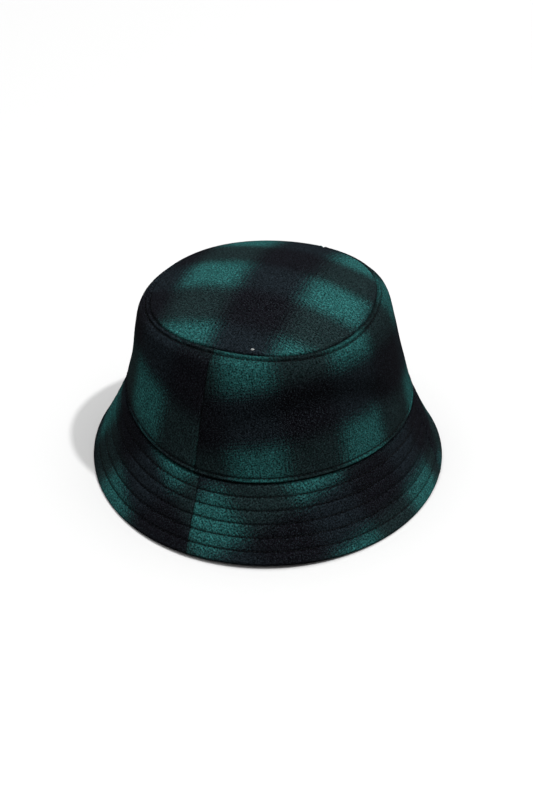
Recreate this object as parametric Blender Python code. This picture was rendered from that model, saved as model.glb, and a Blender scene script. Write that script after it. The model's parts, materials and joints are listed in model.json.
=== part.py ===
"""Bucket hat in brushed wool check, built from the pieces that are cut and sewn.

The hat stands on the edge of its brim. Z is up, the origin is on the floor under the
middle of the crown, and azimuths are measured from +X towards +Y. Cloth pieces are turned
sectors of the hat's wall section, kept a small gap apart where they are sewn together.
"""
import math

import bmesh
import bpy
from mathutils import Matrix, Vector

# Driving dimensions, in metres.
HEAD_RADIUS = 0.0940        # outer face at the seam between crown and brim
HEAD_HEIGHT = 0.0465        # height of that seam above the floor
BRIM_RADIUS = 0.1190        # outer face at the brim's edge
TIP_RADIUS = 0.0735         # outer face at the seam between side band and tip
TIP_HEIGHT = 0.1255
TIP_RISE = 0.0150           # how far the tip is domed above its seam
OVAL = (0.98, 1.02)         # the head shape is longer along Y than along X

WOOL = 0.0016               # brushed wool shell
INTERLINING = 0.0008        # stiffening canvas in the brim
LINING = 0.0006             # crown lining
SWEATBAND = 0.0012
SWEATBAND_WIDTH = 0.0320
LABEL = 0.0004              # woven label tape
THREAD_RADIUS = 0.00025
GAP = 0.0003                # left between touching pieces
SEAM_ALLOWANCE = 0.0080     # edge of the tip, turned down behind the side band
TIP_TURN = 2.5 * WOOL       # its inner face stops this far inside its outer edge
DOME_POINTS = 6             # along the domed tip, from its axis to its edge

BRIM_SEAMS = (119.0, 243.0, 355.0)      # azimuths of the three brim seams, in degrees
SIDE_SEAMS = (61.0, 241.0)              # azimuths of the two side band seams
BRIM_ROWS = 5                           # rows of stitching round the brim
EDGE_STITCH = 0.0035                    # stitching beside the tip and crown seams
STEP = 6.0                              # turning step, in degrees
SEAM_HALF_ANGLE = 0.15                  # half the gap between two sewn sectors, in degrees

MAIN_LABEL_AZIMUTH = 151.0
MAIN_LABEL_SIZE = (0.044, 0.018)
MAIN_LABEL_RISE = 0.010                 # its lower edge above the sweatband
CARE_LABEL_SIZE = (0.022, 0.038)
CARE_LABEL_DROP = 0.0010                # hinge line below the sweatband's upper edge

# Control points of the wall section, as radius and height.
CROWN_CONTROL = (
    Vector((HEAD_RADIUS, HEAD_HEIGHT)),
    Vector((0.0865, 0.0700)),
    Vector((0.0850, 0.1170)),
    Vector((TIP_RADIUS, TIP_HEIGHT)),
)
BRIM_CONTROL = (
    Vector((HEAD_RADIUS, HEAD_HEIGHT)),
    Vector((0.1000, 0.0240)),
    Vector((BRIM_RADIUS, 0.0)),
)
BRIM_THICKNESS = 2 * WOOL + INTERLINING + 2 * GAP
LINING_OFFSET = 2 * WOOL + 2 * GAP

COLOURS = {
    "wool_teal": (0.020, 0.085, 0.080, 0.95),
    "wool_dark": (0.012, 0.030, 0.034, 0.95),
    "canvas": (0.42, 0.40, 0.36, 0.90),
    "lining": (0.012, 0.014, 0.018, 0.45),
    "sweatband": (0.015, 0.017, 0.020, 0.70),
    "label": (0.55, 0.54, 0.50, 0.60),
    "thread": (0.006, 0.006, 0.008, 0.75),
}


def clear_scene():
    for thing in list(bpy.data.objects):
        bpy.data.objects.remove(thing, do_unlink=True)


def material(name):
    """Principled material from the colour table: red, green, blue and roughness."""
    found = bpy.data.materials.get(name)
    if found:
        return found
    made = bpy.data.materials.new(name)
    made.use_nodes = True
    shader = made.node_tree.nodes["Principled BSDF"]
    red, green, blue, rough = COLOURS[name]
    shader.inputs["Base Color"].default_value = (red, green, blue, 1.0)
    shader.inputs["Roughness"].default_value = rough
    shader.inputs["Metallic"].default_value = 0.0
    return made


def add_object(name, mesh, colour):
    mesh.materials.append(material(colour))
    thing = bpy.data.objects.new(name, mesh)
    bpy.context.scene.collection.objects.link(thing)
    return thing


# ---------------------------------------------------------------- section curves

def bezier(control, count):
    """Points at equal parameter steps along a Bezier curve of any degree."""
    degree = len(control) - 1
    points = []
    for i in range(count):
        t = i / (count - 1)
        total = Vector((0.0, 0.0))
        for k, corner in enumerate(control):
            weight = math.comb(degree, k) * t ** k * (1 - t) ** (degree - k)
            total += corner * weight
        points.append(total)
    return points


def segment_normal(a, b, side):
    along = (b - a).normalized()
    return Vector((-along.y, along.x)) * side


def with_normals(points, side):
    """Pairs of a point and its mitred normal, pointing into the hat."""
    pairs = []
    for i, point in enumerate(points):
        before = segment_normal(points[max(i - 1, 0)], points[max(i, 1)], side)
        i = min(i, len(points) - 2)
        after = segment_normal(points[i], points[i + 1], side)
        middle = (before + after).normalized()
        pairs.append((point, middle / middle.dot(after)))
    return pairs


def cut(pairs, start, end):
    """The stretch of a curve between two distances along it."""
    kept = []
    run = 0.0
    for (a, a_normal), (b, b_normal) in zip(pairs, pairs[1:]):
        length = (b - a).length
        low = max(start, run)
        high = min(end, run + length)
        if high - low > 1e-9:
            for distance in (low, high):
                share = (distance - run) / length
                pair = (a.lerp(b, share), a_normal.lerp(b_normal, share))
                if not kept or (kept[-1][0] - pair[0]).length > 1e-9:
                    kept.append(pair)
        run += length
    return kept


def total_length(pairs):
    return sum((b[0] - a[0]).length for a, b in zip(pairs, pairs[1:]))


def land(points, height):
    """Moves the last point along its own segment until it is at a height."""
    before, last = points[-2:]
    share = (height - before.y) / (last.y - before.y)
    return points[:-1] + [before.lerp(last, share)]


CROWN = with_normals(bezier(CROWN_CONTROL, 9), 1.0)
BRIM = with_normals(bezier(BRIM_CONTROL, 5), -1.0)
CROWN_LENGTH = total_length(CROWN)
BRIM_LENGTH = total_length(BRIM)


def crown_curve(depth, start, end):
    """Parallel curve of the crown wall, from low to high, at a depth inside its face."""
    return [point + normal * depth for point, normal in cut(CROWN, start, end)]


def brim_curve(depth, start, floor):
    """Parallel curve of the brim, from its seam down to a height above the floor."""
    points = [point + normal * depth for point, normal in cut(BRIM, start, BRIM_LENGTH)]
    return land(points, floor)


def crown_point(depth, along):
    return crown_curve(depth, along, along + GAP)[0]


def crown_band(outer, inner, start, end):
    """Closed outline of a layer of the crown wall between two depths."""
    return crown_curve(outer, start, end) + crown_curve(inner, start, end)[::-1]


def dome(radius, height, rise, count):
    """Points from the axis out to an edge, on a shallow parabola."""
    points = []
    for i in range(count):
        r = radius * i / (count - 1)
        points.append(Vector((r, height + rise * (1 - (r / radius) ** 2))))
    return points


# ---------------------------------------------------------------- turned solids

def turned(name, outline, colour, start=0.0, sweep=360.0):
    """Turns a closed wall outline about Z into one closed oval body."""
    build = bmesh.new()
    turn = Matrix.Rotation(math.radians(start), 3, "Z")
    corners = [build.verts.new(turn @ Vector((p.x, 0.0, p.y))) for p in outline]
    edges = []
    for a, b in zip(corners, corners[1:] + corners[:1]):
        if max(a.co.xy.length, b.co.xy.length) > 1e-9:
            edges.append(build.edges.new((a, b)))
    spun = bmesh.ops.spin(build, geom=corners + edges, cent=(0, 0, 0), axis=(0, 0, 1),
                          angle=math.radians(sweep), steps=max(1, round(sweep / STEP)))
    if sweep < 360.0:
        last = [part for part in spun["geom_last"] if isinstance(part, bmesh.types.BMEdge)]
        build.faces.new(corners)
        bmesh.ops.edgeloop_fill(build, edges=last)
    bmesh.ops.remove_doubles(build, verts=build.verts, dist=1e-6)
    bmesh.ops.scale(build, verts=build.verts, vec=(*OVAL, 1.0))
    bmesh.ops.recalc_face_normals(build, faces=build.faces)
    mesh = bpy.data.meshes.new(name)
    build.to_mesh(mesh)
    build.free()
    mesh.shade_smooth()
    mesh.set_sharp_from_angle(angle=math.radians(35))
    return add_object(name, mesh, colour)


def sewn_sectors(names, outline, colour, seams):
    """One turned sector between each seam and the next, with a gap at every seam."""
    for name, begin, end in zip(names, seams, seams[1:] + seams[:1]):
        sweep = (end - begin) % 360.0 - 2 * SEAM_HALF_ANGLE
        turned(name, outline, colour, begin + SEAM_HALF_ANGLE, sweep)


def thread_ring(name, centre):
    """A row of stitching as one thin ring of three-sided section."""
    outline = []
    for k in range(3):
        angle = math.radians(120 * k + 90)
        outline.append(centre + Vector((math.cos(angle), math.sin(angle))) * THREAD_RADIUS)
    turned(name, outline, "thread")


# ---------------------------------------------------------------- the crown's shell

def make_crown_tip():
    """Domed top panel, with its seam allowance turned down behind the side band."""
    edge = TIP_RADIUS - 2 * GAP
    outer = dome(edge, TIP_HEIGHT, TIP_RISE, DOME_POINTS)
    behind = WOOL + GAP
    seam = CROWN_LENGTH
    allowance_out = crown_curve(behind, seam - SEAM_ALLOWANCE, seam)[::-1]
    allowance_in = crown_curve(behind + WOOL, seam - SEAM_ALLOWANCE, seam - WOOL)
    inner = dome(edge - TIP_TURN, TIP_HEIGHT - WOOL, TIP_RISE, DOME_POINTS - 1)[::-1]
    turned("crown_tip", outer + allowance_out + allowance_in + inner, "wool_teal")


def make_side_panels():
    outline = crown_band(0.0, WOOL, GAP, CROWN_LENGTH - GAP / 2)
    sewn_sectors(("side_panel_front", "side_panel_back"), outline, "wool_dark",
                 (SIDE_SEAMS[1], SIDE_SEAMS[0]))


# ---------------------------------------------------------------- the brim

def make_brim_tops():
    """Upper brim, rolled under at the edge so that it is what rests on the floor."""
    outer = brim_curve(0.0, GAP, 0.0)
    roll = [brim_curve(BRIM_THICKNESS, GAP, height)[-1] for height in (0.0, WOOL)]
    outline = outer + roll + brim_curve(WOOL, GAP, WOOL)[::-1]
    sewn_sectors(("brim_top_left", "brim_top_front", "brim_top_back"), outline, "wool_teal",
                 BRIM_SEAMS)


def brim_layer(depth, thickness):
    """Closed outline of a layer between the upper brim and its rolled edge."""
    floor = WOOL + GAP
    return brim_curve(depth, GAP, floor) + brim_curve(depth + thickness, GAP, floor)[::-1]


def make_brim_inside():
    """Stiffening canvas and the under brim, both behind the upper brim."""
    canvas_depth = WOOL + GAP
    turned("brim_interlining", brim_layer(canvas_depth, INTERLINING), "canvas")
    under_depth = canvas_depth + INTERLINING + GAP
    sewn_sectors(("brim_under_left", "brim_under_front", "brim_under_back"),
                 brim_layer(under_depth, WOOL), "wool_dark", BRIM_SEAMS)


# ---------------------------------------------------------------- inside the crown

def make_sweatband():
    outline = crown_band(LINING_OFFSET, LINING_OFFSET + SWEATBAND, GAP, SWEATBAND_WIDTH)
    turned("sweatband", outline, "sweatband")


def make_lining():
    start = SWEATBAND_WIDTH + GAP
    outline = crown_band(LINING_OFFSET, LINING_OFFSET + LINING, start, CROWN_LENGTH - WOOL)
    sewn_sectors(("lining_side_front", "lining_side_back"), outline, "lining",
                 (SIDE_SEAMS[1], SIDE_SEAMS[0]))
    height = TIP_HEIGHT - LINING_OFFSET - GAP
    edge = TIP_RADIUS - LINING_OFFSET
    top = dome(edge, height, TIP_RISE, DOME_POINTS - 1)
    top += dome(edge, height - LINING, TIP_RISE, DOME_POINTS - 1)[::-1]
    turned("lining_tip", top, "lining")


def make_main_label():
    """Blank woven label lying against the lining at the wearer's back."""
    width, height = MAIN_LABEL_SIZE
    depth = LINING_OFFSET + LINING + GAP
    low = SWEATBAND_WIDTH + MAIN_LABEL_RISE
    outline = crown_band(depth, depth + LABEL, low, low + height)
    radius = outline[1].x
    sweep = math.degrees(width / radius)
    turned("main_label", outline, "label", MAIN_LABEL_AZIMUTH - sweep / 2, sweep)


def care_label_hinge():
    """Middle of the label's sewn edge, clear of the curved band behind it."""
    depth = LINING_OFFSET + SWEATBAND
    along = SWEATBAND_WIDTH - CARE_LABEL_DROP
    seam = crown_point(depth, along)
    half_width = CARE_LABEL_SIZE[0] / 2
    bow = seam.x - math.sqrt(seam.x ** 2 - half_width ** 2)
    return Vector((0.0, (seam.x - bow) * OVAL[1] - LABEL / 2 - 2 * GAP, seam.y))


def make_care_label():
    """Blank care label caught in the seam over the sweatband; it swings about that edge."""
    width, height = CARE_LABEL_SIZE
    build = bmesh.new()
    bmesh.ops.create_cube(build, size=1.0)
    bmesh.ops.scale(build, verts=build.verts, vec=(width, LABEL, height))
    bmesh.ops.translate(build, verts=build.verts, vec=(0, 0, -height / 2))
    mesh = bpy.data.meshes.new("care_label")
    build.to_mesh(mesh)
    build.free()
    label = add_object("care_label", mesh, "label")
    label.location = care_label_hinge()


# ---------------------------------------------------------------- stitching

def make_stitching():
    proud = THREAD_RADIUS + GAP
    thread_ring("tip_topstitch", crown_point(-proud, CROWN_LENGTH - EDGE_STITCH))
    thread_ring("crown_base_topstitch", crown_point(-proud, EDGE_STITCH))
    for row in range(1, BRIM_ROWS + 1):
        along = BRIM_LENGTH * row / (BRIM_ROWS + 1)
        point, normal = cut(BRIM, along, BRIM_LENGTH)[0]
        thread_ring(f"brim_stitch_row_{row}", point - normal * proud)
    band_face = LINING_OFFSET + SWEATBAND
    thread_ring("sweatband_stitch", crown_point(band_face + proud, EDGE_STITCH))


def main():
    clear_scene()
    make_crown_tip()
    make_side_panels()
    make_brim_tops()
    make_brim_inside()
    make_sweatband()
    make_lining()
    make_main_label()
    make_care_label()
    make_stitching()
    hinge = care_label_hinge()
    print("care label hinge at", [round(value, 5) for value in hinge])


main()
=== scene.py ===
"""Bucket hat in brushed wool check: cloth, stitching and finishes in place of the plain CAD pieces."""
import json
import math

import bmesh
import bpy
import numpy as np
from bpy.props import FloatProperty, FloatVectorProperty, IntProperty, PointerProperty
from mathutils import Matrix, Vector

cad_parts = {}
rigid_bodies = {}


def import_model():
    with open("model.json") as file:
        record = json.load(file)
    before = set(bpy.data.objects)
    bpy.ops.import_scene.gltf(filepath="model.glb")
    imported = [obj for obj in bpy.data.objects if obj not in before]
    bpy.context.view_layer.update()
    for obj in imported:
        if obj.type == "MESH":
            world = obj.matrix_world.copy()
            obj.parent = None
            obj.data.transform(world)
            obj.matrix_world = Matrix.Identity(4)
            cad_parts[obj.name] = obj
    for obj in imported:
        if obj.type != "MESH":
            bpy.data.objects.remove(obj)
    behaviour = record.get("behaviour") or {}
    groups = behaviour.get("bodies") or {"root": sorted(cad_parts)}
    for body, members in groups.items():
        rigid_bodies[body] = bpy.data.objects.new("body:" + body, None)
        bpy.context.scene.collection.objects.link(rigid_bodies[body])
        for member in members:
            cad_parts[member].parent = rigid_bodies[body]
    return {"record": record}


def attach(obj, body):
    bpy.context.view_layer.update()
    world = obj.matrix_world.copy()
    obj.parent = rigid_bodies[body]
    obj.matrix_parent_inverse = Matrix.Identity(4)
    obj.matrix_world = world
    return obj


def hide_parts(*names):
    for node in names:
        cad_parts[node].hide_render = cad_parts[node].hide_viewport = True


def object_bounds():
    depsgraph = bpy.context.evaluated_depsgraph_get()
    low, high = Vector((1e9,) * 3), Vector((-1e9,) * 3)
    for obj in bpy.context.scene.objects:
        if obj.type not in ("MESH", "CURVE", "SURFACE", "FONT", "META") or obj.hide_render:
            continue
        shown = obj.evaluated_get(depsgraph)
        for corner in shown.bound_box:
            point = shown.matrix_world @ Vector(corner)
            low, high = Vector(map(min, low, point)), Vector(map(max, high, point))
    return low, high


bl_info = {
    "name": "Checked wool bucket hat",
    "version": (1, 0, 0),
    "blender": (4, 5, 0),
    "location": "3D Viewport > Sidebar > Hat",
    "description": "Makes a lined bucket hat in brushed wool check, piece by piece",
    "category": "Add Mesh",
}

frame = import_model()
CAD_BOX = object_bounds()
FLOOR = CAD_BOX[0][2]
JOINT = frame["record"]["behaviour"]["joints"][0]
LABEL_BODY = JOINT["child"]
HAT_BODY = JOINT["parent"]
LABEL_HINGE = np.array(JOINT["pos_m"])

MM = 0.001
BACK = 151.0                            # the wearer's back, in degrees round the hat
BACK_LEFT_SEAM = 119.0                  # the brim seam where the interlining's ends meet
OVAL_EASE = 0.02                        # how far the regular head oval departs from a circle
EDGE_RADIUS = 1.7 * MM                  # half the thickness of the rolled brim edge

# The soft wall's main rings: mean radius and height, and how far the ring stands off them as
# cosine and sine waves of one, two and three turns, all in millimetres.
RINGS = {
    "tip": (72.2, 123.8, (-0.6, 0.0, 0.5, 2.5, -2.0, 1.0), (0.0, -0.8, -0.8, -0.7, 1.5, 0.4)),
    "head": (94.0, 46.4, (1.1, -0.3, 0.7, -0.6, 0.2, 2.8), (-0.5, 0.0, 1.5, -0.6, -1.5, 1.7)),
    "edge": (120.0, 2.0, (-0.5, 0.7, -2.6, -0.5, 0.7, 1.0), (0.0, 0.1, 0.0, 0.0, 0.5, 1.3)),
}
# Rings of the side band between them: share of the way down, how far its shift has gone over from
# the tip ring's to the head ring's, mean radius and height.
BAND_RINGS = ((0.12, 0.08, 79.1, 117.2), (0.38, 0.35, 83.2, 100.9), (0.70, 0.62, 87.6, 78.0))
TIP_TOP = 140.7
INSIDE = (0.0, 0.0, 0.06)               # a point within the crown, for telling in from out
# A panel's flat pattern is an arc, whose radius at the head seam is the head's radius over these.
SIDE_CONE, BRIM_CONE = 0.19, 0.42

# How the check lies on each wool panel: turn in degrees, start in millimetres, and the two repeats
# it shows there once the cloth is eased to the form.
TIP_LAY = (-20.2, (47.8, 56.6), (80.8, 62.2))
# Panels of the side and of the brim: angles of their two sides, each at the top and the bottom,
# the angle of the middle, the lay, and for the side the share of painted shade over the whole panel.
SIDE_PANELS = {
    # The front's 0.45 paints shade over the whole front panel; the back has none.
    "front": ((243.5, 240.5), (421.0, 421.0), 331.0, (-4.0, (44.6, 10.2), (72.5, 74.8)), 0.45),
    "back": ((61.0, 61.0), (243.5, 240.5), 151.0, (3.8, (14.5, 27.3), (85.0, 74.8)), 0.0),
}
BRIM_PANELS = {
    "left": ((119.0, 119.0), (243.0, 245.0), 181.0, (-17.0, (65.7, 42.4), (71.8, 73.8))),
    "front": ((243.0, 245.0), (361.5, 348.5), 299.0, (17.8, (53.3, 16.3), (78.8, 70.8))),
    "back": ((1.5, -11.5), (119.0, 119.0), 57.0, (8.0, (7.0, -16.5), (72.0, 75.0))),
}


class HatSizes(bpy.types.PropertyGroup):
    wool: FloatProperty(name="Wool thickness", description="Thickness of the brushed wool",
                        default=1.5 * MM, unit="LENGTH", precision=5)
    brim: FloatProperty(name="Brim thickness", description="All layers of the brim", default=3.6 * MM,
                        unit="LENGTH", precision=5)
    lining_depth: FloatProperty(name="Lining depth", description="Lining behind the wall's outer face",
                                default=3.8 * MM, unit="LENGTH", precision=5)
    lining: FloatProperty(name="Lining thickness", description="Thickness of the satin lining",
                          default=0.4 * MM, unit="LENGTH", precision=5)
    sweatband: FloatProperty(name="Sweatband thickness", description="Thickness of the folded band",
                             default=1.2 * MM, unit="LENGTH", precision=5)
    sweatband_width: FloatProperty(name="Sweatband width", description="Height of the band inside the hat",
                                   default=32 * MM, unit="LENGTH")
    groove: FloatProperty(name="Stitch groove", description="How deep a stitched row pulls the wool in",
                          default=0.75 * MM, unit="LENGTH", precision=5)
    stitch: FloatProperty(name="Stitch pitch", description="Length of one stitch along its row",
                          default=3.2 * MM, unit="LENGTH", precision=5)
    thread: FloatProperty(name="Thread radius", description="Radius of the sewing thread",
                          default=0.21 * MM, unit="LENGTH", precision=5)
    edge_stitch: FloatProperty(name="Edge stitching", description="Edge rows' distance from their seam",
                               default=3.4 * MM, unit="LENGTH", precision=5)
    rows: IntProperty(name="Brim rows", description="Rows of stitching round the brim", default=5, min=1)
    warp_repeat: FloatProperty(name="Warp repeat", description="Repeat of the check across the warp",
                               default=76 * MM, unit="LENGTH")
    weft_repeat: FloatProperty(name="Weft repeat", description="Repeat of the check across the weft",
                               default=69 * MM, unit="LENGTH")


def colour_property(label, about, value):
    return FloatVectorProperty(name=label, description=about, subtype="COLOR", size=3, min=0.0, max=1.0,
                               default=value)


class HatColours(bpy.types.PropertyGroup):
    teal: colour_property("Teal", "Green warp crossing green weft", (0.0080, 0.0420, 0.0405))
    warp_mix: colour_property("Grey green", "Green warp crossing black weft", (0.0044, 0.0090, 0.0092))
    weft_mix: colour_property("Navy", "Black warp crossing green weft", (0.0034, 0.0050, 0.0064))
    black: colour_property("Purple black", "Black warp crossing black weft", (0.0021, 0.0020, 0.0028))
    thread: colour_property("Thread", "Sewing thread", (0.0015, 0.0016, 0.0018))
    lining: colour_property("Lining", "Satin lining", (0.010, 0.012, 0.015))
    band: colour_property("Sweatband", "Cotton twill of the band", (0.013, 0.014, 0.016))
    canvas: colour_property("Canvas", "Interlining", (0.40, 0.38, 0.33))
    label: colour_property("Label", "Woven label", (0.42, 0.41, 0.38))


def sizes():
    return bpy.context.scene.hat_sizes


def colours():
    return bpy.context.scene.hat_colours


# ---------------------------------------------------------------- the hat's form

def smooth(x, low, high):
    """Smooth step: 0 below low, 1 above high, 3t^2 - 2t^3 between."""
    t = np.clip((x - low) / (high - low), 0.0, 1.0)
    return t * t * (3 - 2 * t)


def waves(azimuth, amounts):
    """Sum of cosine and sine waves of one, two and three turns."""
    total = np.zeros_like(azimuth)
    for turn in range(3):
        total += amounts[2 * turn] * np.cos((turn + 1) * azimuth)
        total += amounts[2 * turn + 1] * np.sin((turn + 1) * azimuth)
    return total


def ring_shift(name, azimuth):
    """How far a ring stands off its mean radius and height. Towards the back the wall settles
    into the regular head oval, -0.02 R cos(2a)."""
    radius, _, radial, upward = RINGS[name]
    out, up = waves(azimuth, radial), waves(azimuth, upward)
    if name != "tip":
        free = 1.0 - smooth(np.sin(azimuth), 0.5, 0.87)
        regular = -OVAL_EASE * radius * np.cos(2 * azimuth)
        out, up = free * out + (1 - free) * regular, free * up
    return out, up


def ring(name, azimuth):
    out, up = ring_shift(name, azimuth)
    return RINGS[name][0] + out, RINGS[name][1] + up


def in_space(radius, height, azimuth):
    """Cylindrical millimetres to metres."""
    points = (radius * np.cos(azimuth), radius * np.sin(azimuth), height + 0 * azimuth)
    return np.stack(np.broadcast_arrays(*points), -1) * MM


def monotone(knots, values, at):
    """Monotone cubic through values at knots, for whole grids: the slope at a knot is the harmonic
    mean of its neighbours', zero at a turn, and between knots the curve is Hermite's cubic."""
    gap = np.diff(np.asarray(knots, float))[:, None, None]
    rise = np.diff(values, axis=0) / gap
    slope = np.zeros_like(values)
    before, after = rise[:-1], rise[1:]
    w_before, w_after = 2 * gap[1:] + gap[:-1], gap[1:] + 2 * gap[:-1]
    same = before * after > 0
    inverse = w_before / np.where(same, before, 1) + w_after / np.where(same, after, 1)
    slope[1:-1] = np.where(same, (w_before + w_after) / inverse, 0)
    slope[0], slope[-1] = rise[0], rise[-1]
    at = at[:, 0]
    k = np.clip(np.searchsorted(knots, at, side="right") - 1, 0, len(knots) - 2)
    row = np.arange(len(at))
    h = gap[k, 0]
    t = (at[:, None] - np.asarray(knots)[k][:, None]) / h
    return ((2 * t ** 3 - 3 * t ** 2 + 1) * values[k, row] + (t ** 3 - 2 * t ** 2 + t) * h * slope[k, row]
            + (3 * t ** 2 - 2 * t ** 3) * values[k + 1, row] + (t ** 3 - t ** 2) * h * slope[k + 1, row])


def tip_form(share, azimuth):
    """The tip: a parabola from its top down to the tip ring, height = top + (ring - top) share^2."""
    radius, height = ring("tip", azimuth)
    return in_space(share * radius, TIP_TOP + (height - TIP_TOP) * share ** 2, azimuth)


def band_form(share, azimuth):
    """The side band, from the tip ring at 0 to the head ring at 1, through its rings."""
    azimuth = np.broadcast_to(azimuth, (len(share), azimuth.shape[-1]))
    tip, head = ring("tip", azimuth), ring("head", azimuth)
    tip_shift, head_shift = ring_shift("tip", azimuth), ring_shift("head", azimuth)
    knots, radii, heights = [0.0], [tip[0]], [tip[1]]
    for knot, part, radius, height in BAND_RINGS:
        knots.append(knot)
        radii.append(radius + (1 - part) * tip_shift[0] + part * head_shift[0])
        heights.append(height + (1 - part) * tip_shift[1] + part * head_shift[1])
    knots.append(1.0)
    radii, heights = np.array(radii + [head[0]]), np.array(heights + [head[1]])
    return in_space(monotone(knots, radii, share), monotone(knots, heights, share), azimuth)


def brim_form(share, azimuth):
    """The brim, from the head ring at 0 straight to the edge ring at 1, a millimetre hollow."""
    head, edge = ring("head", azimuth), ring("edge", azimuth)
    radius = head[0] + (edge[0] - head[0]) * share - np.sin(np.pi * share)
    return in_space(radius, head[1] + (edge[1] - head[1]) * share, azimuth)


def spread(share, first, last, columns):
    """Azimuths of a panel's grid: columns spread evenly between two sides, which may slant from
    their top to their bottom angle in degrees."""
    share = np.clip(share, 0, 1)
    left = first[0] + (first[1] - first[0]) * share
    right = last[0] + (last[1] - last[0]) * share
    return np.radians(left + (right - left) * np.linspace(0, 1, columns))


def full_turn(columns):
    return np.linspace(0, 2 * np.pi, columns, endpoint=False)[None, :]


def outward(points, close=False):
    """Unit normals of a grid of points, out of the hat, from the cross product of the grid's two
    directions; close joins the last column to the first."""
    along = np.gradient(points, axis=0)
    if close:
        across = (np.roll(points, -1, axis=1) - np.roll(points, 1, axis=1)) / 2
    else:
        across = np.gradient(points, axis=1)
    normal = np.cross(along, across)
    length = np.linalg.norm(normal, axis=-1, keepdims=True)
    normal = np.where(length > 1e-14, normal / np.maximum(length, 1e-14), (0.0, 0.0, 1.0))
    facing = np.sum((points - np.array(INSIDE)) * normal, -1, keepdims=True)
    return np.where(facing < 0, -normal, normal)


def distances(points):
    """Distance along the first direction of a grid, from its first row."""
    steps = np.linalg.norm(np.diff(points, axis=0), axis=-1)
    return np.concatenate([np.zeros((1, points.shape[1])), np.cumsum(steps, axis=0)])


def dip(distance, width):
    """A rounded valley or ridge, exp(-(distance / width)^2)."""
    return np.exp(-(distance / width) ** 2)


def side_distance(azimuth, points):
    """Distance to the nearer side of a panel, along its hoop, in metres."""
    radius = np.linalg.norm(points[..., :2], axis=-1)
    return np.minimum(azimuth - azimuth[:, :1], azimuth[:, -1:] - azimuth) * radius


def ripple(azimuth, along, seed, size):
    """Gentle unevenness of soft cloth: five slanted sine waves with seeded turns and phases."""
    random = np.random.default_rng(seed)
    total = np.zeros(np.broadcast_shapes(azimuth.shape, along.shape))
    for _ in range(5):
        turns, slant = random.integers(2, 9), random.uniform(-6, 6)
        total += np.sin(turns * azimuth + slant * along + random.uniform(0, 6.28)) / 5
    return total * size


# ---------------------------------------------------------------- meshes

def grid_faces(rows, columns, first=0, close=False):
    """Quads of a grid of numbered points, row by row; close joins the last column to the first."""
    i, j = np.meshgrid(np.arange(rows - 1), np.arange(columns if close else columns - 1), indexing="ij")
    here, right = i * columns + j, i * columns + (j + 1) % columns
    return np.stack([here, here + columns, right + columns, right], -1).reshape(-1, 4) + first


def add_mesh(name, points, faces, uv=None, marks=None, material=None):
    """A mesh object at the origin from points, faces, a cloth map in metres and point marks."""
    mesh = bpy.data.meshes.new(name)
    mesh.from_pydata(np.asarray(points).reshape(-1, 3).tolist(), [], [list(face) for face in faces])
    if uv is not None:
        layer = mesh.uv_layers.new(name="cloth")
        corners = np.empty(len(mesh.loops), dtype=np.int32)
        mesh.loops.foreach_get("vertex_index", corners)
        layer.data.foreach_set("uv", np.asarray(uv).reshape(-1, 2)[corners].ravel().astype(np.float32))
    for mark, values in (marks or {}).items():
        attribute = mesh.attributes.new(mark, "FLOAT", "POINT")
        attribute.data.foreach_set("value", np.asarray(values).ravel().astype(np.float32))
    mesh.validate()
    mesh.shade_smooth()
    thing = bpy.data.objects.new(name, mesh)
    bpy.context.scene.collection.objects.link(thing)
    if material:
        mesh.materials.append(material)
    return thing


def shell_faces(rows, columns, close=False):
    """Faces of a closed shell: the outer grid, the inner grid turned over, and the rims."""
    outer = grid_faces(rows, columns, 0, close)
    count = rows * columns
    inner = grid_faces(rows, columns, count, close)[:, ::-1]
    top = np.arange(columns)
    bottom = (rows - 1) * columns + np.arange(columns)
    rims = []
    for line, turn in ((top, False), (bottom, True)):
        a, b = line[:-1], line[1:]
        if close:
            a, b = line, np.roll(line, -1)
        quad = np.stack([a, b, b + count, a + count], -1)
        rims.append(quad[:, ::-1] if turn else quad)
    if not close:
        for column, turn in ((0, True), (columns - 1, False)):
            line = np.arange(rows) * columns + column
            quad = np.stack([line[:-1], line[1:], line[1:] + count, line[:-1] + count], -1)
            rims.append(quad[:, ::-1] if turn else quad)
    return np.concatenate([outer, inner] + rims)


def add_shell(name, outer, inner, uv, material, marks=None, close=False):
    """A closed cloth piece from its outer and inner grids; cloth that would pass through what the
    hat stands on lies on it instead."""
    rows, columns = outer.shape[:2]
    points = np.concatenate([outer.reshape(-1, 3), inner.reshape(-1, 3)])
    points[:, 2] = np.maximum(points[:, 2], FLOOR + 0.05 * MM)
    faces = shell_faces(rows, columns, close)
    maps = np.concatenate([uv.reshape(-1, 2)] * 2)
    both = {mark: np.concatenate([value.ravel()] * 2) for mark, value in (marks or {}).items()}
    thing = add_mesh(name, points, faces, maps, both, material)
    point_out(thing)
    return thing


def point_out(thing):
    """Turns every face outwards and merges doubled points at poles."""
    build = bmesh.new()
    build.from_mesh(thing.data)
    bmesh.ops.remove_doubles(build, verts=build.verts, dist=1e-7)
    bmesh.ops.recalc_face_normals(build, faces=build.faces)
    build.to_mesh(thing.data)
    build.free()
    thing.data.shade_smooth()


def place(thing, node, body=HAT_BODY):
    """A finished piece stands for its node, whose CAD part it hides, and rides on its body."""
    if node:
        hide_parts(node)
    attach(thing, body)
    return thing


def cut(flat, lay, crosswise=True):
    """Cloth map in metres of a flat pattern laid on the check: turned, started at a place, and eased
    so that its repeats come out as the lay shows them. Cloth cut crosswise changes warp for weft."""
    turn, start, shown = lay
    angle = math.radians(turn)
    x, y = flat[..., 0], flat[..., 1]
    warp = x * math.cos(angle) + y * math.sin(angle) - start[0] * MM
    weft = -x * math.sin(angle) + y * math.cos(angle) - start[1] * MM
    laid = np.stack([weft, warp] if crosswise else [warp, weft], -1)
    own = np.array([sizes().warp_repeat, sizes().weft_repeat])
    return laid * own / (np.array(shown) * MM)


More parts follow.
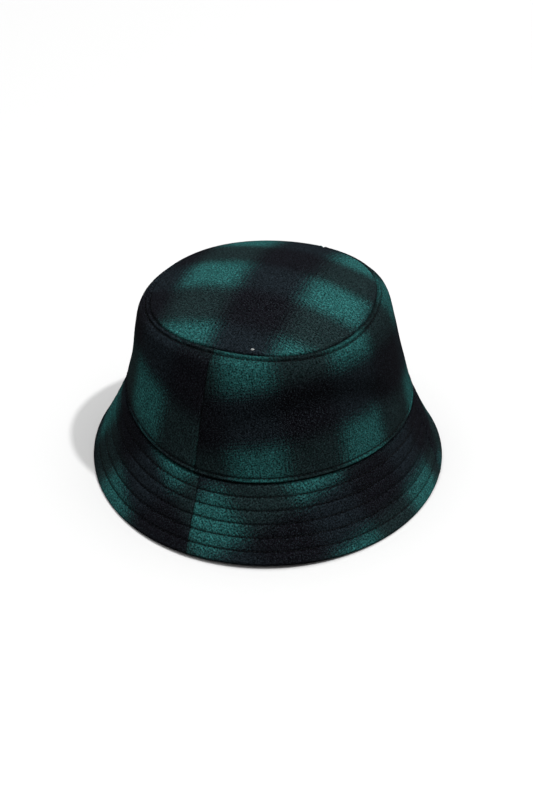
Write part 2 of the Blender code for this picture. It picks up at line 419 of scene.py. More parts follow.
def unrolled(points, azimuth, middle, cone, upward):
    """Flat pattern of a conical panel: the hoop length at the head ring over the cone's flat radius
    gives the angle, and the distance from that ring changes the flat radius."""
    turn = np.radians(middle) + np.linspace(-np.pi, np.pi, 721)
    hoop = in_space(*ring("head", turn), turn)
    run = np.concatenate([[0.0], np.cumsum(np.linalg.norm(np.diff(hoop, axis=0), axis=-1))])
    reach = np.interp(azimuth, turn, run - np.interp(np.radians(middle), turn, run))
    flat_radius = RINGS["head"][0] * MM / cone
    along = distances(points)
    radius = flat_radius + (along - along[-1:] if upward else along)
    angle = reach / flat_radius
    return np.stack([radius * np.sin(angle), flat_radius - radius * np.cos(angle)], -1)


# ---------------------------------------------------------------- materials

# Sizes of the brushed wool's unevenness, as noise waves to the metre, and of its weave.
NAP, CLUMPS, PATCHES, BROKEN_EDGE, SPECKS = 950.0, 330.0, 60.0, 1500.0, 1400.0
THREAD_GAP, TWILL_GAP = 2.3 * MM, 1.5 * MM
STRIPE_EDGES = (-0.64, 0.80)            # a stripe's cosine where it begins and ends turning green


class Wiring:
    """Short ways to add shader nodes to a material and join them."""

    def __init__(self, name):
        self.material = bpy.data.materials.new(name)
        self.material.use_nodes = True
        self.tree = self.material.node_tree
        self.surface = self.tree.nodes["Principled BSDF"]

    def add(self, kind, *inputs, out=0, **settings):
        node = self.tree.nodes.new("ShaderNode" + kind)
        for key, value in settings.items():
            setattr(node, key, value)
        for number, value in enumerate(inputs):
            self.join(value, node.inputs[number])
        return node.outputs[out]

    def join(self, value, socket):
        if value is None:
            return
        if isinstance(value, bpy.types.NodeSocket):
            self.tree.links.new(value, socket)
        else:
            socket.default_value = value

    def math(self, operation, *inputs):
        return self.add("Math", *inputs, operation=operation)

    def mix(self, share, first, second, blend="MIX"):
        node = self.tree.nodes.new("ShaderNodeMix")
        node.data_type = "RGBA"
        node.blend_type = blend
        self.join(share, node.inputs[0])
        self.join(first, node.inputs[6])
        self.join(second, node.inputs[7])
        return node.outputs[2]

    def noise(self, spot, scale, detail=2.0, rough=0.5):
        return self.add("TexNoise", spot, None, scale, detail, rough)

    def cloth_map(self):
        """The piece's cloth map, and its distances across the warp and the weft."""
        cloth = self.add("UVMap", uv_map="cloth")
        across = self.add("SeparateXYZ", cloth)
        return cloth, across, across.node.outputs[1]

    def sine(self, distance, length):
        """Sine of a distance, one turn for each length."""
        return self.math("SINE", self.math("MULTIPLY", distance, 2 * math.pi / length))

    def between(self, value, low, high, new_low=0.0, new_high=1.0):
        """Smoothly maps low..high to new_low..new_high."""
        return self.add("MapRange", value, low, high, new_low, new_high, interpolation_type="SMOOTHSTEP")

    def finish(self, colour, rough, sheen=0.0, sheen_rough=0.5, specular=0.3, bump=None, strength=0.3):
        surface = self.surface.inputs
        self.join(colour, surface["Base Color"])
        self.join(rough, surface["Roughness"])
        surface["Sheen Weight"].default_value = sheen
        surface["Sheen Roughness"].default_value = sheen_rough
        surface["Specular IOR Level"].default_value = specular
        if bump is not None:
            relief = self.tree.nodes.new("ShaderNodeBump")
            relief.inputs["Strength"].default_value = strength
            relief.inputs["Distance"].default_value = 0.4 * MM
            self.join(bump, relief.inputs["Height"])
            self.join(relief.outputs[0], surface["Normal"])
        return self.material


def rgba(colour, gain=1.0):
    return (*(min(1.0, channel * gain) for channel in colour), 1.0)


def stripe(w, distance, repeat, wobble):
    """Share of green thread across one direction: the cosine of the repeat, broken up near its
    edges by single threads and by the nap, then sharpened."""
    wave = w.math("COSINE", w.math("MULTIPLY", distance, 2 * math.pi / repeat))
    wave = w.math("MULTIPLY_ADD", w.sine(distance, THREAD_GAP), 0.13, wave)
    wave = w.math("ADD", wave, wobble)
    return w.math("POWER", w.between(wave, *STRIPE_EDGES), 1.3)


def check_colour(w, cloth, x, y):
    """Colours of the four thread crossings, by the shares of green in the warp and in the weft."""
    tone = colours()
    wobble = w.math("MULTIPLY_ADD", w.noise(cloth, BROKEN_EDGE, 1.0), 1.7, -0.85)
    warp = stripe(w, x, sizes().warp_repeat, wobble)
    weft = stripe(w, y, sizes().weft_repeat, wobble)
    green_weft = w.mix(warp, rgba(tone.weft_mix), rgba(tone.teal))
    black_weft = w.mix(warp, rgba(tone.black), rgba(tone.warp_mix))
    return w.mix(weft, black_weft, green_weft)


def nap_tone_and_painted_shade(w, cloth, nap, clumps):
    """Light and dark of the nap: hairs, clumps, broad patches and streaks along both threads; and
    painted shade, darker where the piece's groove mark says so: seams, stitched rows, folds, edges."""
    shade = w.between(clumps, 0.3, 0.7, 0.78, 1.22)
    shade = w.math("MULTIPLY", shade, w.between(nap, 0.34, 0.67, 0.25, 1.90))
    patch = w.noise(cloth, PATCHES)
    shade = w.math("MULTIPLY", shade, w.between(patch, 0.2, 0.8, 0.9, 1.1))
    for stretch in ((1500.0, 230.0, 1.0), (230.0, 1500.0, 1.0)):
        streak = w.noise(w.add("Mapping", cloth, None, None, stretch), 1.0, 1.0)
        shade = w.math("MULTIPLY", shade, w.between(streak, 0.3, 0.7, 0.84, 1.16))
    # Painted shade: the groove mark, 0 to 1, darkens the colour down to 0.35 of itself at 1.
    groove = w.add("Attribute", attribute_name="groove", out=2)
    return w.math("MULTIPLY", shade, w.between(groove, 0.0, 1.0, 1.0, 0.35))


def pale_fibres_and_sheen(w, cloth, colour):
    """Grey specks, partly pale fibres and partly painted sheen glints on the nap's hairs, and a few
    slanting pale hairs over a colour.
    """
    # Specks: pale fibres, and painted sheen glints where the nap's hairs would catch light.
    specks = w.between(w.noise(cloth, SPECKS, 1.0), 0.54, 0.72)
    colour = w.mix(w.math("MULTIPLY", specks, 0.60), colour, (0.018, 0.024, 0.029, 1.0))
    hairs = w.add("Mapping", cloth, None, (0, 0, 0.6), (2600.0, 520.0, 1.0))
    hairs = w.between(w.noise(hairs, 1.0, 1.0), 0.66, 0.80)
    return w.mix(w.math("MULTIPLY", hairs, 0.10), colour, (0.05, 0.07, 0.07, 1.0))


def wool_check():
    """Brushed two-colour check on the cloth map, warp across x and weft across y."""
    if "brushed_check" in bpy.data.materials:
        return bpy.data.materials["brushed_check"]
    w = Wiring("brushed_check")
    cloth, x, y = w.cloth_map()
    nap = w.noise(cloth, NAP, 2.0, 0.6)
    clumps = w.noise(cloth, CLUMPS, 2.0, 0.6)
    colour = w.mix(1.0, check_colour(w, cloth, x, y), nap_tone_and_painted_shade(w, cloth, nap, clumps), "MULTIPLY")
    twill = w.sine(w.math("ADD", x, y), TWILL_GAP)
    height = w.math("MULTIPLY_ADD", nap, 0.55, w.math("MULTIPLY", clumps, 0.9))
    height = w.math("MULTIPLY_ADD", twill, 0.05, height)
    return w.finish(pale_fibres_and_sheen(w, cloth, colour), 0.92, sheen=0.003, specular=0.0, bump=height,
                    strength=0.55)


def plain_cloth(name, colour, repeat, rough, sheen=0.1, specular=0.2, strength=0.35, satin=False):
    """A woven cloth of one colour: two crossing thread waves, or the long floats of a satin."""
    if name in bpy.data.materials:
        return bpy.data.materials[name]
    w = Wiring(name)
    cloth, x, y = w.cloth_map()
    slant = w.math("MULTIPLY_ADD", y, 0.3 if satin else 1.0, x)
    weave = w.math("MULTIPLY_ADD", w.sine(y, repeat), 0.4, w.sine(slant, repeat))
    uneven = w.between(w.noise(cloth, 140.0, 3.0, 0.6), 0.2, 0.8, 0.85, 1.15)
    shade = w.math("MULTIPLY", w.between(weave, -1.4, 1.4, 0.82, 1.15), uneven)
    tint = w.mix(1.0, rgba(colour), shade, "MULTIPLY")
    return w.finish(tint, rough, sheen=sheen, specular=specular, bump=weave, strength=strength)


def thread_finish():
    """Black spun thread, lighter and darker with its fuzz."""
    if "spun_thread" in bpy.data.materials:
        return bpy.data.materials["spun_thread"]
    w = Wiring("spun_thread")
    fuzz = w.noise(w.add("TexCoord", out=3), 2500.0, 2.0, 0.6)
    tint = w.mix(w.between(fuzz, 0.3, 0.7), rgba(colours().thread), rgba(colours().thread, 2.0))
    return w.finish(tint, 0.8, specular=0.06, bump=fuzz, strength=0.3)


# ---------------------------------------------------------------- the crown

TIP_COLUMNS = 440
SIDE_COLUMNS = 330


def tip_profile():
    """Shares of the tip grid's rows: sparse in the middle, close together near the seam."""
    return np.concatenate([np.linspace(0, 0.90, 64), np.linspace(0.905, 1.0, 26)[:-1]])[:, None]


def seam_relief(distance):
    """Where cloth is turned in at a seam: it rolls down at the edge, stands up a little beside it,
    and is pulled in along the edge stitching. In metres, negative inwards."""
    roll = -1.3 * MM * dip(distance, 0.8 * MM)
    ridge = 0.55 * MM * dip(distance - 0.52 * sizes().edge_stitch, 0.9 * MM)
    groove = -sizes().groove * dip(distance - sizes().edge_stitch, 0.75 * MM)
    return roll + ridge + groove


def seam_mark(distance):
    """Shading of the same relief, from 0 in the open to 1 in the folds."""
    return np.clip(dip(distance, 0.9 * MM) + 0.8 * dip(distance - sizes().edge_stitch, 0.7 * MM), 0, 1)


def make_tip():
    """The tip lies on its dome, drawn down at the seam, and its seam allowance is turned down behind
    the side band as a second run of rows."""
    azimuth = full_turn(TIP_COLUMNS)
    share = tip_profile()
    form = tip_form(share, azimuth)
    normal = outward(form, close=True)
    radius = np.linalg.norm(form[..., :2], axis=-1)
    edge = np.linalg.norm(tip_form(np.array([[1.0]]), azimuth)[..., :2], axis=-1)
    to_seam = edge - radius
    soft = ripple(azimuth, radius / MM / 40, 5, 0.5 * MM)
    soft = soft * smooth(share, 0.05, 0.5) * smooth(to_seam, 0, 0.02)
    seam = dip(to_seam, 0.9 * MM)
    relief = (soft - 0.9 * MM * seam)[..., None]
    tuck = np.linspace(0.012, 0.075, 8)[:, None]
    behind = band_form(tuck, azimuth)
    facing = outward(behind, close=True)
    wool = sizes().wool
    clear = wool + 0.2 * MM
    outer = np.concatenate([form + relief * normal, behind - clear * facing])
    inner = np.concatenate([form + (relief - wool) * normal, behind - (clear + wool) * facing])
    # Painted shade: darker along the seam, and fully dark on the allowance turned behind the band.
    marks = np.concatenate([seam, np.ones(behind.shape[:2])])
    uv = cut(np.concatenate([form, behind])[..., :2], TIP_LAY, crosswise=False)
    tip = add_shell("tip_wool", outer, inner, uv, wool_check(), {"groove": marks}, close=True)
    place(tip, "crown_tip")


def band_profile():
    """Shares of the side grid's rows, close together beside both seams."""
    return np.concatenate([np.linspace(0.0, 0.10, 26)[:-1], np.linspace(0.10, 0.90, 60)[:-1],
                           np.linspace(0.90, 1.0, 26)])[:, None]


def dents(azimuth, height):
    """Slack of the unshaped crown: a shallow sagging hollow across its front right, and soft waves.
    Gives the shift out of the wall, and the painted shade along the fold over the hollow."""
    across = np.degrees(azimuth)
    line = 94.0 - 0.011 * (across - 290.0) ** 2
    fade = smooth(across, 248, 282) * (1 - smooth(across, 318, 345))
    hollow = fade * dip(height - line, 10.0)
    # Painted shade along the fold's upper flank, 5 mm above the hollow's middle.
    shade = fade * dip(height - line - 5.0, 9.0)
    shift = (ripple(azimuth, height / 50.0, 11, 0.9) - 3.4 * hollow) * MM
    return shift * smooth(height, 50, 62) * (1 - smooth(height, 108, 120)), shade


def side_relief(form, azimuth):
    """How far a side panel's face stands off its form: seams at top and bottom and at both sides,
    and the slack of the cloth. Also the shading mark that goes with it."""
    along = distances(form)
    beside = side_distance(azimuth, form)
    slack, painted_fold_shade = dents(azimuth, form[..., 2] / MM)
    relief = seam_relief(along) + seam_relief(along[-1:] - along) + slack
    relief = relief - 0.7 * MM * dip(beside, 0.6 * MM) + 0.25 * MM * dip(beside - 1.6 * MM, 1.0 * MM)
    # Painted shade in the seams' folds and stitched grooves, and beside the panel's sides.
    mark = seam_mark(along) + seam_mark(along[-1:] - along) + 0.5 * dip(beside, 0.5 * MM)
    return relief[..., None], mark, painted_fold_shade


def make_side(name):
    """One wool panel of the crown's side: its outer face, and the same a wool's thickness in."""
    first, last, middle, lay, nap = SIDE_PANELS[name]
    share = band_profile()
    azimuth = spread(share, first, last, SIDE_COLUMNS)
    form = band_form(share, azimuth)
    normal = outward(form)
    relief, mark, painted_fold_shade = side_relief(form, azimuth)
    # Painted shade: the panel's own share all over, plus the fold's painted shade, then the seams'.
    nap = nap + 0.30 * painted_fold_shade
    mark = np.clip(nap + (1 - nap) * mark, 0, 1)
    outer = form + relief * normal
    inner = form + (relief - sizes().wool) * normal
    uv = cut(unrolled(form, azimuth, middle, SIDE_CONE, True), lay)
    side = add_shell("side_wool_" + name, outer, inner, uv, wool_check(), {"groove": mark})
    place(side, "side_panel_" + name)


# ---------------------------------------------------------------- the brim

BRIM_ROWS = 112
BRIM_COLUMNS = 2.2                      # columns of the brim's grid to a degree


def row_lines(along, total):
    """Distance to the nearest row of brim stitching."""
    places = total * np.arange(1, sizes().rows + 1)[:, None, None] / (sizes().rows + 1)
    return np.min(np.abs(along - places), axis=0)


def quilting(to_row, pitch):
    """The wool is drawn in along each row and puffs up between rows."""
    return -sizes().groove * dip(to_row, 0.75 * MM) + 0.35 * MM * smooth(to_row, 0.0, pitch / 2)


def brim_relief(azimuth, along, beside, puff):
    """How far the upper brim's face stands off its form: puffed between rows, drawn down at the
    head seam and at the seams between panels, which roll up a little, and softly uneven."""
    relief = puff - 1.1 * MM * dip(along, 1.2 * MM) - 0.7 * MM * dip(beside, 0.6 * MM)
    relief = relief + 0.3 * MM * dip(beside - 1.5 * MM, 0.9 * MM)
    return relief + ripple(azimuth, along / MM / 25, 17, 0.25 * MM)


def make_brim_panel(name):
    """Upper and lower wool of one brim panel. At the edge both roll towards each other round a
    quarter circle: down = r (1 - sqrt(1 - t^2)), t going from 0 to 1 over the last r."""
    first, last, middle, lay = BRIM_PANELS[name]
    share = np.linspace(0.0, 1.0, BRIM_ROWS)[:, None]
    azimuth = spread(share, first, last, int((last[0] - first[0]) * BRIM_COLUMNS))
    form = brim_form(share, azimuth)
    normal = outward(form)
    along = distances(form)
    total = along[-1:]
    beside, to_row, to_edge = side_distance(azimuth, form), row_lines(along, total), total - along
    puff = quilting(to_row, float(total.mean()) / (sizes().rows + 1))
    roll = np.clip(1 - to_edge / EDGE_RADIUS, 0, 1)
    down = EDGE_RADIUS * (1 - np.sqrt(np.clip(1 - roll ** 2, 0, 1)))
    # Painted shade: a little over the whole brim, more in stitched rows, at the head seam, at panel seams
    # and under the rolled edge.
    mark = np.clip(0.22 + 0.6 * dip(to_row, 0.55 * MM) + dip(along, 1.0 * MM) + 0.4 * dip(beside, 0.5 * MM)
                   + 0.75 * dip(to_edge, 1.1 * MM), 0, 1)
    wool, whole, sliver = sizes().wool, sizes().brim, 0.05 * MM
    uv = cut(unrolled(form, azimuth, middle, BRIM_CONE, False), lay)
    outer = form + (brim_relief(azimuth, along, beside, puff) - down)[..., None] * normal
    inner = form - np.maximum(wool, down + sliver)[..., None] * normal
    top = add_shell("brim_wool_" + name, outer, inner, uv, wool_check(), {"groove": mark})
    place(top, "brim_top_" + name)
    inner = form - np.minimum(wool + 0.6 * MM, whole - down - sliver)[..., None] * normal
    outer = form - (whole + puff - 1.2 * MM * dip(beside, 0.8 * MM) - down)[..., None] * normal
    below = add_shell("brim_lining_" + name, inner, outer, uv, wool_check(), {"groove": mark})
    place(below, "brim_under_" + name)


def make_interlining():
    """A canvas strip right round the brim between its two wools, its ends meeting at the back left."""
    share = np.linspace(0.02, 0.96, 30)[:, None]
    azimuth = spread(share, (BACK_LEFT_SEAM + 0.1,) * 2, (BACK_LEFT_SEAM + 359.9,) * 2, 240)
    form = brim_form(share, azimuth)
    normal = outward(form)
    along = distances(form)
    uv = np.stack([azimuth * 0.1, along], -1)
    canvas = plain_cloth("woven_canvas", colours().canvas, 0.8 * MM, 0.9)
    wool = sizes().wool
    upper, lower = form - (wool + 0.1 * MM) * normal, form - (wool + 0.5 * MM) * normal
    piece = add_shell("brim_canvas", upper, lower, uv, canvas)
    place(piece, "brim_interlining")


# ---------------------------------------------------------------- inside the crown

BAND_STEPS = np.linspace(0, 1, 120)[:, None]


def band_depth(azimuth):
    """Length of the side band along its slant, in metres."""
    return distances(band_form(BAND_STEPS, azimuth))[-1]


def band_at(heights, azimuth):
    """Points of the side band at distances up from the head ring, in metres, and its normals."""
    form = band_form(BAND_STEPS, azimuth)
    normal = outward(form)
    rise = distances(form)
    rise = rise[-1:] - rise
    picked, turned = [], []
    for height in heights:
        row = np.argmin(np.abs(rise - height), axis=0)
        low = np.clip(row - 1, 0, len(BAND_STEPS) - 3)
        columns = np.arange(form.shape[1])
        far, near = rise[low, columns], rise[low + 2, columns]
        t = ((far - height) / (far - near))[:, None]
        picked.append(form[low, columns] * (1 - t) + form[low + 2, columns] * t)
        turned.append(normal[low, columns])
    return np.array(picked), np.array(turned)


def make_sweatband():
    """A folded strip of twill round the head opening, its ends meeting at the back."""
    heights = np.concatenate([np.linspace(0.0003, 0.003, 6), np.linspace(0.005, 0.030, 14),
                              np.linspace(0.0305, sizes().sweatband_width, 5)])
    azimuth = np.radians(np.linspace(BACK + 0.15, BACK + 359.85, 480))[None, :]
    form, normal = band_at(heights, azimuth)
    height = np.broadcast_to(heights[:, None], form.shape[:2])
    depth, thick = sizes().lining_depth, sizes().sweatband
    stitched = dip(height - sizes().edge_stitch, 0.7 * MM)
    fold = 0.35 * MM * dip(height - heights[-1], 0.8 * MM)
    slack = ripple(azimuth, height / 0.02, 23, 0.15 * MM) * smooth(height, 0.006, 0.016)
    inner = form - (depth + thick - 0.45 * MM * stitched - fold - 0.15 * MM + slack)[..., None] * normal
    outer = form - (depth + 0.2 * MM * stitched)[..., None] * normal
    uv = np.stack([np.broadcast_to(azimuth * 0.09, height.shape), height], -1)
    twill = plain_cloth("woven_twill", colours().band, 1.1 * MM, 0.8, sheen=0.12, strength=0.5)
    band = add_shell("sweatband_strip", outer, inner, uv, twill)
    place(band, "sweatband")


def make_lining_side(name, first, last):
    """A satin panel from the sweatband up to the tip, slack except behind the hanging label."""
    azimuth = np.radians(np.linspace(first, last, 220))[None, :]
    top = band_depth(azimuth) - 2.6 * MM
    low = sizes().sweatband_width + 0.4 * MM
    height = low + (top - low) * np.linspace(0, 1, 60)[:, None]
    form, normal = band_at(height, azimuth)
    free = smooth(height, 0.034, 0.050) * (1 - smooth(height, 0.064, 0.076))
    beside = side_distance(np.broadcast_to(azimuth, height.shape), form)
    slack = np.maximum(0.6 * MM + ripple(azimuth, height / 0.016, 31, 0.6 * MM), 0)
    slack = (slack + 0.5 * MM * dip(beside, 1.0 * MM)) * free
    label_side = np.arctan2(LABEL_HINGE[1], LABEL_HINGE[0])
    slack = slack * smooth(np.abs(azimuth - label_side), 0.16, 0.36)
    depth = (sizes().lining_depth + 0.05 * MM + slack)[..., None]
    outer, inner = form - depth * normal, form - (depth + sizes().lining) * normal
    uv = np.stack([np.broadcast_to(azimuth * 0.09, height.shape), height], -1)
    side = add_shell("lining_satin_" + name, outer, inner, uv, lining_finish())
    place(side, "lining_side_" + name)


def lining_finish():
    """Dark satin."""
    return plain_cloth("woven_satin", colours().lining, 0.5 * MM, 0.38, sheen=0.05, specular=0.5,
                       strength=0.12, satin=True)


def make_lining_tip():
    """A round of satin under the tip, with its hem turned down beside the side lining."""
    azimuth = full_turn(300)
    share = np.linspace(0, 0.945, 60)[:, None]
    form = tip_form(share, azimuth)
    normal = outward(form, close=True)
    hem = band_form(np.linspace(0.015, 0.070, 8)[:, None], azimuth)
    hem_normal = outward(hem, close=True)
    slack = (0.3 * MM + ripple(azimuth, share * 3, 41, 0.4 * MM)) * (1 - smooth(share, 0.7, 0.92))
    depth = (sizes().lining_depth + 0.3 * MM + np.maximum(slack, 0))[..., None]
    outer = np.concatenate([form - depth * normal, hem - 3.30 * MM * hem_normal])
    inner = np.concatenate([form - (depth + sizes().lining) * normal, hem - 3.65 * MM * hem_normal])
    flat = np.concatenate([form, hem])[..., :2]
    top = add_shell("lining_satin_tip", outer, inner, flat, lining_finish(), close=True)
    place(top, "lining_tip")


# ---------------------------------------------------------------- stitches and labels

# One stitch as a tube: where its rings stand along it, how far each is lifted off the cloth and how
# thick it is, both in thread radii. The middle stands proud and the ends dive into the cloth.
STITCH_PARTS = np.array([0.0, 0.18, 0.5, 0.82, 1.0])
STITCH_LIFT = np.array([-1.9, 0.2, 0.55, 0.2, -1.9])
STITCH_SLIM = np.array([0.55, 0.95, 1.0, 0.95, 0.55])
TUBE_SIDES = 5


def unit(vectors):
    return vectors / np.linalg.norm(vectors, axis=-1, keepdims=True)


def along_line(at, run, line):
    """Points or directions of a line at distances along it."""
    return np.stack([np.interp(at, run, line[:, axis]) for axis in range(3)], -1)


def thread_tubes(points, ups):
    """Stitch after stitch round a closed line of points: round each ring's centre, points at
    radius (cos a aside + sin a up). Gives all the points, and the faces of tubes closed at both ends."""
    line = np.concatenate([points, points[:1]])
    run = np.concatenate([[0.0], np.cumsum(np.linalg.norm(np.diff(line, axis=0), axis=1))])
    count = max(2, int(round(run[-1] / sizes().stitch)))
    length = run[-1] / count
    at = np.arange(count)[:, None] * length + (0.09 + 0.82 * STITCH_PARTS) * length
    centre = along_line(at, run, line)
    up = unit(along_line(at, run, np.concatenate([ups, ups[:1]])))
    aside = np.cross(unit(np.gradient(centre, axis=1)), up)
    centre = centre + STITCH_LIFT[None, :, None] * sizes().thread * up
    turn = (np.arange(TUBE_SIDES) * 2 * np.pi / TUBE_SIDES)[:, None]
    spokes = np.cos(turn) * aside[:, :, None] + np.sin(turn) * up[:, :, None]
    tubes = centre[:, :, None] + STITCH_SLIM[None, :, None, None] * sizes().thread * spokes
    rings = len(STITCH_PARTS)
    size = rings * TUBE_SIDES
    tube = [tuple(face) for face in grid_faces(rings, TUBE_SIDES, 0, True)]
    tube += [tuple(range(TUBE_SIDES))[::-1], tuple(range(size - TUBE_SIDES, size))]
    faces = [tuple(corner + size * number for corner in face) for number in range(count) for face in tube]
    return tubes.reshape(-1, 3), faces


def add_stitches(name, node, *rows):
    """One object from one or more rows of stitches."""
    points, faces, first = [], [], 0
    for row_points, row_faces in rows:
        points.append(row_points)
        faces += [tuple(corner + first for corner in face) for face in row_faces]
        first += len(row_points)
    thing = add_mesh(name, np.concatenate(points), faces, material=thread_finish())
    point_out(thing)
    return place(thing, node)


def make_crown_stitches():
    """Rows on the side band beside both its seams, and the row that holds the sweatband inside."""
    azimuth = full_turn(720)
    sunk = sizes().groove * 0.85
    rows = (("stitches_tip", "tip_topstitch", band_depth(azimuth) - sizes().edge_stitch),
            ("stitches_crown_base", "crown_base_topstitch", sizes().edge_stitch))
    for name, node, height in rows:
        form, normal = band_at([height], azimuth)
        add_stitches(name, node, thread_tubes(form[0] - sunk * normal[0], normal[0]))
    form, normal = band_at([sizes().edge_stitch], azimuth)
    face = sizes().lining_depth + sizes().sweatband - 0.5 * MM
    inside = form[0] - face * normal[0]
    add_stitches("stitches_sweatband", "sweatband_stitch", thread_tubes(inside, -normal[0]))


def make_brim_stitches():
    """Rows evenly spaced from the head seam to the edge, each showing above and below the brim."""
    azimuth = full_turn(720)
    share = np.linspace(0, 1, 12 * (sizes().rows + 1) + 1)[:, None]
    form = brim_form(share, azimuth)
    normal = outward(form, close=True)
    for number in range(1, sizes().rows + 1):
        row = 12 * number
        sunk = sizes().groove * 0.7
        above = form[row] - sunk * normal[row]
        below = form[row] - (sizes().brim - sunk) * normal[row]
        add_stitches(f"stitches_brim_{number}", f"brim_stitch_row_{number}",
                     thread_tubes(above, normal[row]), thread_tubes(below, -normal[row]))


def label_finish():
    """Pale woven tape."""
    return plain_cloth("woven_label", colours().label, 0.45 * MM, 0.6, sheen=0.05, specular=0.4,
                       strength=0.2)


def border_line(grid):
    """The closed line one step in from a grid's border."""
    return np.concatenate([grid[1, 1:-1], grid[1:-1, -2], grid[-2, 1:-1][::-1], grid[1:-1, 1][::-1]])


def make_main_label():
    """A blank woven label curved along the lining at the back, stitched round its border."""
    width, height, curve = 0.044, 0.018, 0.0835
    low = sizes().sweatband_width + 0.010
    heights = np.linspace(low, low + height, 14)
    half = math.degrees(width / 2 / curve)
    azimuth = np.radians(np.linspace(BACK - half, BACK + half, 30))[None, :]
    form, normal = band_at(heights, azimuth)
    normal = normal[len(heights) // 2:len(heights) // 2 + 1]
    depth = sizes().lining_depth + sizes().lining + 2.1 * MM
    outer, inner = form - depth * normal, form - (depth + 0.45 * MM) * normal
    uv = np.stack(np.broadcast_arrays(azimuth * curve, heights[:, None]), -1)
    label = add_shell("label_woven", outer, inner, uv, label_finish())
    place(label, "main_label")
    border, ups = border_line(inner), border_line(np.broadcast_to(-normal, form.shape))
    add_stitches("stitches_label", None, thread_tubes(border, ups))


def make_care_label():
    """A thin blank label hanging from the seam over the sweatband. It curls a little towards the
    band below its sewn end: offset = 0.5 mm (share down)^2, with a slight wave across it."""
    width, height, thick = 0.022, 0.038, 0.3 * MM
    down, across = np.linspace(0, 1, 26)[:, None], np.linspace(-1, 1, 15)[None, :]
    back = 0.5 * MM * down ** 2 + 0.08 * MM * np.sin(2.4 * across) * down
    x = LABEL_HINGE[0] + across * width / 2 + 0 * down
    y = LABEL_HINGE[1] + back
    z = LABEL_HINGE[2] - down * height + 0 * across
    middle = np.stack([x, y, z], -1)
    half = np.array((0, thick / 2, 0))
    label = add_shell("label_care", middle + half, middle - half, np.stack([x, z], -1), label_finish())
    place(label, "care_label", LABEL_BODY)


def make_lint():
    """A bit of light lint caught in the wool near the front of the tip: a small uneven ball."""
    at = tip_form(np.array([[0.955]]), np.array([[math.radians(262.5)]]))[0, 0]
    bpy.ops.mesh.primitive_ico_sphere_add(subdivisions=3, radius=0.95 * MM)
    lint = bpy.context.object
    lint.name = "lint"
    count = len(lint.data.vertices)
    points = np.empty(count * 3)
    lint.data.vertices.foreach_get("co", points)
    points = points.reshape(-1, 3)
    random = np.random.default_rng(3)
    points *= 1 + random.uniform(-0.18, 0.22, (count, 1))
    points = points * (1.0, 0.8, 0.55) + at + np.array((0, 0, 0.15 * MM))
    lint.data.vertices.foreach_set("co", points.ravel())
    lint.data.update()
    w = Wiring("lint")
    fibre = w.noise(w.add("TexCoord", out=3), 4000.0, 3.0, 0.6)
    tint = w.mix(w.between(fibre, 0.3, 0.7), (0.08, 0.09, 0.09, 1), (0.26, 0.26, 0.25, 1))
    lint.data.materials.append(w.finish(tint, 0.9, sheen=0.3, bump=fibre))
    lint.data.shade_smooth()
    place(lint, None)


# ---------------------------------------------------------------- the stage

LIGHT_AT, LIGHT_AIM = (2.36, -1.29, 5.42), (0, 0, 0.06)
CAMERA_AT, CAMERA_AIM = (0, -0.9948, 0.7310), (-0.0006, -0.0078, 0.0484)
FLOOR_GREY = 0.372
SKY_STRENGTH, SKY_FALL = 5.4, 4.0       # strength overhead, and the power it falls off by with height


def aimed(thing, at, aim):
    """Puts a light or the camera in the scene at a place, looking at another."""
    thing.location = at
    thing.rotation_euler = (Vector(aim) - Vector(at)).to_track_quat("-Z", "Y").to_euler()
    bpy.context.scene.collection.objects.link(thing)
    return thing


def make_light():
    """A small round lamp high on the right, for the soft-edged shadow."""
    light = bpy.data.lights.new("key", "AREA")
    light.shape = "DISK"
    light.size = 0.25
    light.energy = 400.0
    lamp = aimed(bpy.data.objects.new("key", light), LIGHT_AT, LIGHT_AIM)


def make_floor():
    """A wide pale floor at the brim's lowest point."""
    bpy.ops.mesh.primitive_plane_add(size=40, location=(0, 0, FLOOR))
    floor = bpy.context.object
    floor.name = "floor"
    w = Wiring("floor")
    w.finish((FLOOR_GREY, FLOOR_GREY, FLOOR_GREY, 1), 0.9, specular=0.1)
    floor.data.materials.append(w.material)


def make_world():
    """A white studio, brightest overhead: strength = 5.4 z^4 for a direction's height z."""
    world = bpy.data.worlds.new("white_studio")
    bpy.context.scene.world = world
    world.use_nodes = True
    tree = world.node_tree
    direction = tree.nodes.new("ShaderNodeTexCoord")
    split = tree.nodes.new("ShaderNodeSeparateXYZ")
    ramp = tree.nodes.new("ShaderNodeMapRange")
    for socket, value in zip(ramp.inputs[1:5], (0.0, 1.0, 0.0, SKY_STRENGTH)):
        socket.default_value = value
    tree.links.new(direction.outputs["Generated"], split.inputs[0])
    bend = tree.nodes.new("ShaderNodeMath")
    bend.operation = "POWER"
    bend.inputs[1].default_value = SKY_FALL
    tree.links.new(split.outputs[2], bend.inputs[0])
    tree.links.new(bend.outputs[0], ramp.inputs[0])
    tree.links.new(ramp.outputs[0], tree.nodes["Background"].inputs[1])
    tree.nodes["Background"].inputs[0].default_value = (1, 1, 1, 1)


def make_camera():
    """A long lens in front of the hat, looking down on it."""
    camera = bpy.data.cameras.new("camera")
    camera.lens = 82.37
    camera.sensor_width = 36.0
    viewer = aimed(bpy.data.objects.new("camera", camera), CAMERA_AT, CAMERA_AIM)
    bpy.context.scene.camera = viewer
    bpy.context.scene.view_settings.view_transform = "Standard"


# ---------------------------------------------------------------- operators

class HAT_OT_add_tip(bpy.types.Operator):
    """Makes the round tip with its turned-in edge"""
    bl_idname = "hat.add_tip"
    bl_label = "Crown tip"

    def execute(self, context):
        make_tip()
        return {"FINISHED"}


